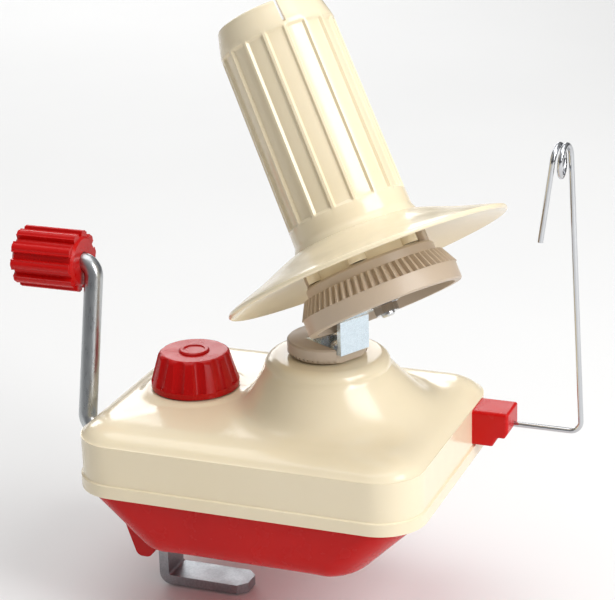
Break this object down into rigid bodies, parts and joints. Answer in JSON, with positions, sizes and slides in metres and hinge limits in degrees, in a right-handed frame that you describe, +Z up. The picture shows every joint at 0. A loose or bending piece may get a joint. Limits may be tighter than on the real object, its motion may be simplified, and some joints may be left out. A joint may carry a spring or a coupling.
{
  "type": "yarn ball winder",
  "caption": "Hand-cranked yarn ball winder with a tilted ribbed core and umbrella flange on a geared turret, table clamp and wire yarn guide.",
  "frame": {"origin": "centre of the tray's flat underside, on the table top", "axes": "+Z up out of the table, +X towards the yarn guide, -X towards the crank and the table's edge, -Y towards the user's front"},
  "size_m": [0.208, 0.1112, 0.2285],
  "materials": {
    "cream_plastic": "glossy moulded cream",
    "red_plastic": "glossy moulded red",
    "beige_plastic": "moulded beige, low sheen",
    "white_nylon": "natural nylon",
    "steel_hardware": "plated steel",
    "satin_rod": "satin nickel plate",
    "zinc_bar": "dull zinc plate",
    "zinc_bracket": "bright blue zinc plate",
    "chrome_wire": "polished chrome",
    "brass_insert": "machined brass"
  },
  "bodies": {
    "housing": {"bottom_tray": "red_plastic", "top_cover": "cream_plastic", "cover_screws": "steel_hardware", "turret_bush": "white_nylon", "lower_bush": "white_nylon", "sun_post": "steel_hardware", "sun_pinion": "white_nylon", "sun_screw": "steel_hardware", "idler_axle": "steel_hardware", "idler_clip": "steel_hardware", "crank_bush": "white_nylon", "bearing_block": "white_nylon", "block_screw": "steel_hardware", "screw_sleeve": "white_nylon", "guide_socket": "red_plastic", "socket_screws": "steel_hardware"},
    "crank": {"crank_rod": "satin_rod", "crank_clips": "steel_hardware", "crank_gear": "white_nylon", "crank_gear_pin": "steel_hardware"},
    "grip": {"crank_grip": "red_plastic"},
    "idler": {"idler_gear": "white_nylon"},
    "flyer": {"flyer_tube": "steel_hardware", "flyer_pinion": "white_nylon", "hub_collar": "beige_plastic", "flyer_bracket": "zinc_bracket", "bracket_screws": "steel_hardware", "tilt_axle": "steel_hardware", "axle_nut": "chrome_wire", "axle_clip": "steel_hardware"},
    "winding_head": {"core_bush": "white_nylon", "ring_gear": "beige_plastic", "core_flange": "cream_plastic", "lock_tabs": "beige_plastic", "winding_core": "cream_plastic"},
    "knob": {"clamp_knob": "red_plastic", "knob_insert": "brass_insert", "knob_cap": "red_plastic", "clamp_screw": "steel_hardware", "screw_clip": "steel_hardware"},
    "clamp_bar": {"clamp_foot": "zinc_bar"},
    "guide": {"guide_wire": "chrome_wire"}
  },
  "joints": [
    {"name": "crank_turn", "type": "hinge", "parent": "housing", "child": "crank", "pos_m": [-0.0744, -0.014, 0.0315], "axis": [1, 0, 0], "continuous": true},
    {"name": "grip_spin", "type": "hinge", "parent": "crank", "child": "grip", "pos_m": [-0.0915, 0.00011, 0.09167], "axis": [1, 0, 0], "continuous": true},
    {"name": "idler_turn", "type": "hinge", "parent": "housing", "child": "idler", "pos_m": [-0.0025, -0.014, 0.0115], "axis": [0, 0, 1], "continuous": true},
    {"name": "flyer_turn", "type": "hinge", "parent": "housing", "child": "flyer", "pos_m": [0.017, 0, 0.07], "axis": [0, 0, 1], "continuous": true},
    {"name": "head_spin", "type": "hinge", "parent": "flyer", "child": "winding_head", "pos_m": [0.017, 0, 0.142], "axis": [-0.4653, 0.2474, 0.8499], "continuous": true},
    {"name": "knob_turn", "type": "hinge", "parent": "housing", "child": "knob", "pos_m": [-0.0356, 0, 0.05], "axis": [0, 0, -1], "range_deg": [0, 3961]},
    {"name": "clamp_slide", "type": "slide", "parent": "housing", "child": "clamp_bar", "axis": [0, 0, 1], "range_m": [0, 0.022]},
    {"name": "guide_swing", "type": "hinge", "parent": "housing", "child": "guide", "pos_m": [0.07, 0.03, 0.034], "axis": [1, 0, 0], "range_deg": [-90, 90]}
  ],
  "couplings": [
    {"joint": "idler_turn", "follows": "crank_turn", "ratio": -1.75},
    {"joint": "flyer_turn", "follows": "crank_turn", "ratio": 4.8125},
    {"joint": "head_spin", "follows": "crank_turn", "ratio": 0.75195},
    {"joint": "knob_turn", "follows": "clamp_slide", "rad_per_m": 3141.6}
  ]
}
